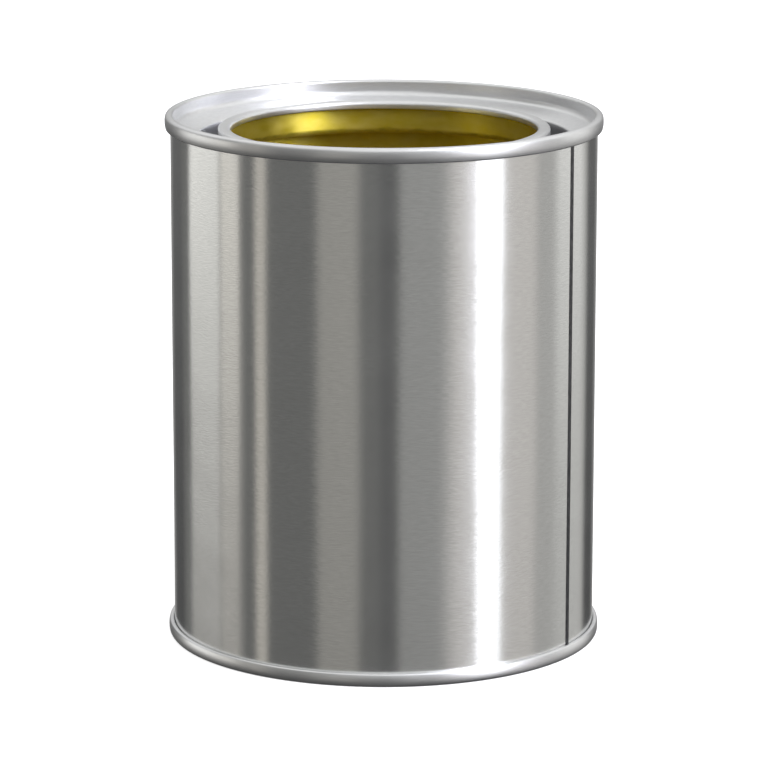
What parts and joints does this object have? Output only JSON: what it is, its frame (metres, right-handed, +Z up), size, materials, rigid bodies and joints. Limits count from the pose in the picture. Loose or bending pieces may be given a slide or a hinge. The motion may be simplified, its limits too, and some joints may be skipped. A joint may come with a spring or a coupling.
{
  "type": "paint can",
  "caption": "Open round tinplate paint can with a welded side seam, a friction ring round the mouth, a recessed bottom and a gold lacquered inside.",
  "frame": {"origin": "centre of the can's foot, on the plane it stands on", "axes": "+Z up along the can's axis, out of the mouth; the side weld is 30.7 degrees from +X towards -Y"},
  "size_m": [0.1108, 0.1108, 0.1348],
  "materials": {
    "body_tinplate": "bright rolled tinplate with fine scratches round the can",
    "end_tinplate": "bright pressed tinplate",
    "weld": "dark, squeezed and slightly rough weld",
    "compound": "cured sealing compound",
    "gold_lacquer": "glossy clear gold can lacquer over tinplate",
    "stripe_lacquer": "glossy pale gold repair lacquer"
  },
  "bodies": {
    "root": {"can_body": "body_tinplate", "side_weld": "weld", "lever_ring": "end_tinplate", "bottom_end": "end_tinplate", "top_seam_compound": "compound", "bottom_seam_compound": "compound", "body_lacquer": "gold_lacquer", "ring_lacquer": "gold_lacquer", "bottom_lacquer": "gold_lacquer", "weld_stripe": "stripe_lacquer"}
  },
  "joints": []
}
